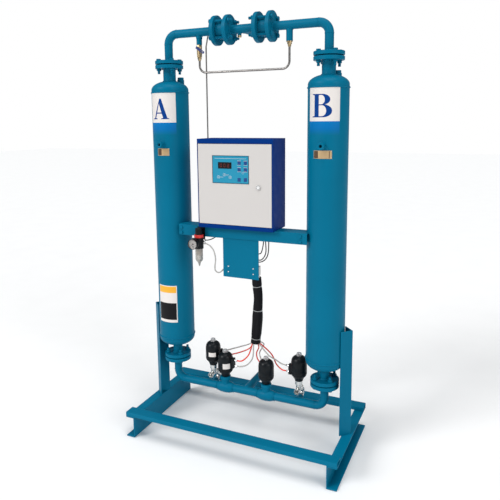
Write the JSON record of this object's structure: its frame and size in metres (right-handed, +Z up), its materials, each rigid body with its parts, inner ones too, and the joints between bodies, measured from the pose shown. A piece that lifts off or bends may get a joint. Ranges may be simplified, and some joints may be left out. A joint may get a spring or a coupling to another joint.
{
  "type": "heatless adsorption air dryer",
  "caption": "Twin-tower compressed-air dryer on a steel skid with control box, top piping, purge line and pneumatic valves.",
  "frame": {"origin": "on the floor at the centre of the skid's base", "axes": "+Z up, +X from tower A to tower B, +Y from the control box's front to the rear"},
  "size_m": [1.316, 0.68, 2.483],
  "materials": {
    "teal_paint": "gloss enamel over steel",
    "blue_paint": "powder coat over sheet steel",
    "cream_paint": "fine-textured powder coat",
    "stainless": "bright stainless steel",
    "zinc_sheet": "zinc-plated sheet",
    "chrome_metal": "polished",
    "brass_metal": "machined",
    "black_plastic": "glass-filled nylon",
    "grey_plastic": "moulded",
    "clear_plastic": "clear polycarbonate",
    "panel_film": "printed membrane",
    "desiccant": "packed beads",
    "black_rubber": "matt",
    "red_tube": "polyurethane tube",
    "clear_tube": "translucent tube"
  },
  "bodies": {
    "frame": {"beam_left": "teal_paint", "beam_right": "teal_paint", "rails": "teal_paint", "upright_left": "teal_paint", "upright_right": "teal_paint", "tower_a": "teal_paint", "tower_b": "teal_paint", "desiccant_beds": "desiccant", "screens": "stainless", "fill_plugs": "teal_paint", "nameplates": "brass_metal", "top_pipe_left": "teal_paint", "top_pipe_right": "teal_paint", "centre_pipe": "teal_paint", "check_bodies": "teal_paint", "check_spring_left": "stainless", "check_spring_right": "stainless", "gaskets": "black_rubber", "flange_bolts": "teal_paint", "check_studs": "teal_paint", "purge_tube": "stainless", "purge_fittings": "brass_metal", "purge_valve": "brass_metal", "pressure_line": "stainless", "crossbar": "teal_paint", "bar_screws": "stainless", "valve_plate": "teal_paint", "solenoid_bank": "black_plastic", "box_shell": "blue_paint", "backplate": "zinc_sheet", "electronics": "grey_plastic", "regulator_body": "black_plastic", "filter_bowl": "clear_plastic", "pressure_gauge": "black_plastic", "manifold": "teal_paint", "exhaust_bodies": "stainless", "actuators": "black_plastic", "hose_wrap": "black_rubber", "tubes_red": "red_tube", "tubes_clear": "clear_tube", "supply_tube": "clear_tube", "black_lines": "black_rubber"},
    "door": {"box_door": "cream_paint", "panel": "panel_film"},
    "lock": {"box_lock": "chrome_metal"},
    "purge_lever": {"purge_handle": "blue_paint"},
    "regulator_cap": {"regulator_knob": "black_plastic"},
    "needle": {"gauge_needle": "black_plastic"},
    "check_left": {"check_disc_left": "stainless"},
    "check_right": {"check_disc_right": "stainless"},
    "button_1": {"key_1": "panel_film"},
    "button_2": {"key_2": "panel_film"},
    "button_3": {"key_3": "panel_film"},
    "button_4": {"key_4": "panel_film"},
    "button_5": {"key_5": "panel_film"},
    "button_6": {"key_6": "panel_film"},
    "valve_stem_1": {"spindle_1": "stainless"},
    "valve_stem_2": {"spindle_2": "stainless"},
    "valve_stem_3": {"spindle_3": "stainless"},
    "valve_stem_4": {"spindle_4": "stainless"}
  },
  "joints": [
    {"name": "door_hinge", "type": "hinge", "parent": "frame", "child": "door", "pos_m": [-0.2235, -0.1335, 1.55], "axis": [0, 0, -1], "range_deg": [0, 110]},
    {"name": "lock_turn", "type": "hinge", "parent": "door", "child": "lock", "pos_m": [0.143, -0.12, 1.54], "axis": [0, 1, 0], "range_deg": [0, 90]},
    {"name": "purge_lever_turn", "type": "hinge", "parent": "frame", "child": "purge_lever", "pos_m": [-0.281, 0.005, 2.312], "axis": [0, 1, 0], "range_deg": [-35, 55]},
    {"name": "regulator_knob_turn", "type": "hinge", "parent": "frame", "child": "regulator_cap", "pos_m": [-0.236, -0.134, 1.27], "axis": [0, 0, 1], "range_deg": [-360, 360]},
    {"name": "gauge_sweep", "type": "hinge", "parent": "frame", "child": "needle", "pos_m": [-0.243, -0.196, 1.205], "axis": [0, 1, 0], "range_deg": [0, 270], "stiffness_Nm_per_rad": 0.0005},
    {"name": "check_left_lift", "type": "slide", "parent": "frame", "child": "check_left", "axis": [1, 0, 0], "range_m": [0, 0.012], "stiffness_N_per_m": 200, "springref_m": -0.01, "deforming": ["check_spring_left"]},
    {"name": "check_right_lift", "type": "slide", "parent": "frame", "child": "check_right", "axis": [-1, 0, 0], "range_m": [0, 0.012], "stiffness_N_per_m": 200, "springref_m": -0.01, "deforming": ["check_spring_right"]},
    {"name": "key_1_press", "type": "slide", "parent": "door", "child": "button_1", "axis": [0, 1, 0], "range_m": [0, 0.0004], "stiffness_N_per_m": 1500},
    {"name": "key_2_press", "type": "slide", "parent": "door", "child": "button_2", "axis": [0, 1, 0], "range_m": [0, 0.0004], "stiffness_N_per_m": 1500},
    {"name": "key_3_press", "type": "slide", "parent": "door", "child": "button_3", "axis": [0, 1, 0], "range_m": [0, 0.0004], "stiffness_N_per_m": 1500},
    {"name": "key_4_press", "type": "slide", "parent": "door", "child": "button_4", "axis": [0, 1, 0], "range_m": [0, 0.0004], "stiffness_N_per_m": 1500},
    {"name": "key_5_press", "type": "slide", "parent": "door", "child": "button_5", "axis": [0, 1, 0], "range_m": [0, 0.0004], "stiffness_N_per_m": 1500},
    {"name": "key_6_press", "type": "slide", "parent": "door", "child": "button_6", "axis": [0, 1, 0], "range_m": [0, 0.0004], "stiffness_N_per_m": 1500},
    {"name": "valve_1_lift", "type": "slide", "parent": "frame", "child": "valve_stem_1", "axis": [0, 0, 1], "range_m": [0, 0.014]},
    {"name": "valve_2_lift", "type": "slide", "parent": "frame", "child": "valve_stem_2", "axis": [0, 0, 1], "range_m": [0, 0.014]},
    {"name": "valve_3_lift", "type": "slide", "parent": "frame", "child": "valve_stem_3", "axis": [0, 0, 1], "range_m": [0, 0.014]},
    {"name": "valve_4_lift", "type": "slide", "parent": "frame", "child": "valve_stem_4", "axis": [0, 0, 1], "range_m": [0, 0.014]}
  ]
}
